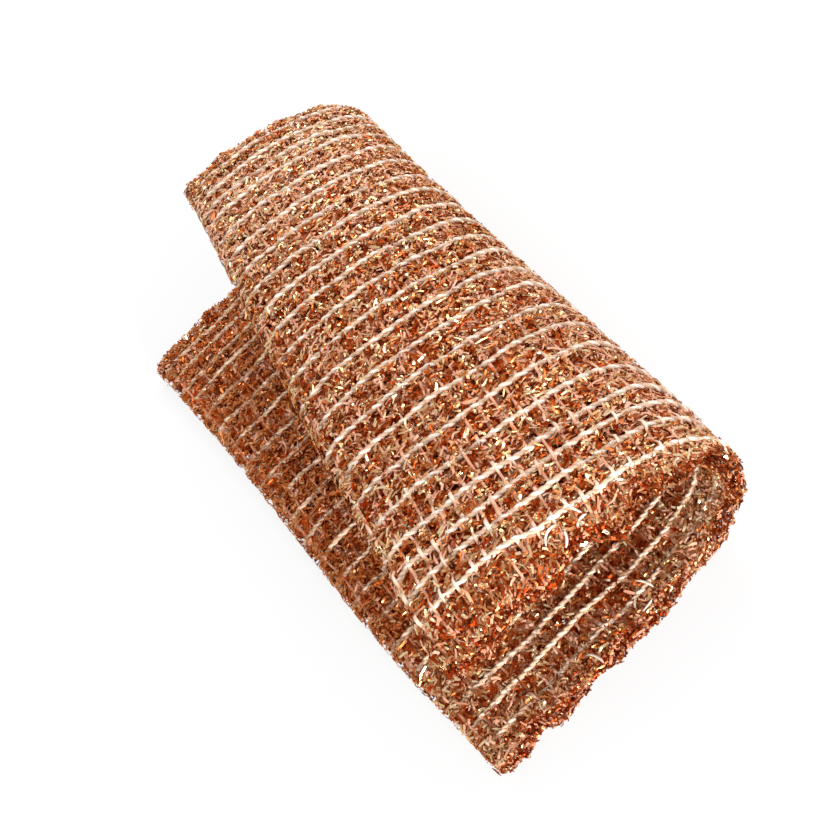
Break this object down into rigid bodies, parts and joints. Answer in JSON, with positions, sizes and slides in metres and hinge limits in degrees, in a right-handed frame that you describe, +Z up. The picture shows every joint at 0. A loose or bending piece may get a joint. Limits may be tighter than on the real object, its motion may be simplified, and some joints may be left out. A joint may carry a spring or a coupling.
{
  "type": "scrubbing cloth",
  "caption": "Springy knitted scrubbing cloth of copper tinsel with white rib cords, folded over once into an open roll; the flap presses down and opens out flat.",
  "frame": {"origin": "middle of the underside of the folded cloth's bounding box, on the surface that it lies on", "axes": "+Y along the roll from the near end to the far end, +X across the lower layer towards the fold, +Z up"},
  "size_m": [0.0732, 0.1396, 0.0433],
  "materials": {
    "copper_tinsel": "bright copper tinsel ribbon, knitted",
    "white_yarn": "matt white twisted yarn"
  },
  "bodies": {
    "lower_layer": {"lower_tube": "copper_tinsel", "lower_rib_01": "white_yarn", "lower_rib_02": "white_yarn", "lower_rib_03": "white_yarn", "lower_rib_04": "white_yarn", "lower_rib_05": "white_yarn", "lower_rib_06": "white_yarn", "lower_rib_07": "white_yarn", "lower_rib_08": "white_yarn", "lower_rib_09": "white_yarn", "lower_rib_10": "white_yarn", "lower_rib_11": "white_yarn", "lower_rib_12": "white_yarn", "lower_rib_13": "white_yarn", "lower_rib_14": "white_yarn", "lower_rib_15": "white_yarn", "lower_rib_16": "white_yarn", "lower_rib_17": "white_yarn", "lower_rib_18": "white_yarn", "lower_rib_19": "white_yarn", "lower_rib_20": "white_yarn", "lower_rib_21": "white_yarn", "lower_rib_22": "white_yarn"},
    "fold_strip": {"fold_outer_ply": "copper_tinsel", "fold_inner_ply": "copper_tinsel", "fold_outer_net": "white_yarn", "fold_inner_net": "white_yarn"},
    "flap": {"flap_tube": "copper_tinsel", "flap_rib_01": "white_yarn", "flap_rib_02": "white_yarn", "flap_rib_03": "white_yarn", "flap_rib_04": "white_yarn", "flap_rib_05": "white_yarn", "flap_rib_06": "white_yarn", "flap_rib_07": "white_yarn", "flap_rib_08": "white_yarn", "flap_rib_09": "white_yarn", "flap_rib_10": "white_yarn", "flap_rib_11": "white_yarn", "flap_rib_12": "white_yarn", "flap_rib_13": "white_yarn", "flap_rib_14": "white_yarn", "flap_rib_15": "white_yarn", "flap_rib_16": "white_yarn", "flap_rib_17": "white_yarn", "flap_rib_18": "white_yarn", "flap_rib_19": "white_yarn", "flap_rib_20": "white_yarn", "flap_rib_21": "white_yarn", "flap_rib_22": "white_yarn"}
  },
  "joints": [
    {"name": "lower_fold", "type": "hinge", "parent": "lower_layer", "child": "fold_strip", "pos_m": [0.02486, 0.00024, 0.0054], "axis": [0.0834, 0.9965, -0.0106], "range_deg": [-12, 85], "stiffness_Nm_per_rad": 0.03},
    {"name": "upper_fold", "type": "hinge", "parent": "fold_strip", "child": "flap", "pos_m": [0.02435, -0.00065, 0.03032], "axis": [0.0833, 0.9955, -0.0459], "range_deg": [-12, 85], "stiffness_Nm_per_rad": 0.03}
  ],
  "couplings": [
    {"joint": "upper_fold", "follows": "lower_fold", "ratio": 1}
  ]
}
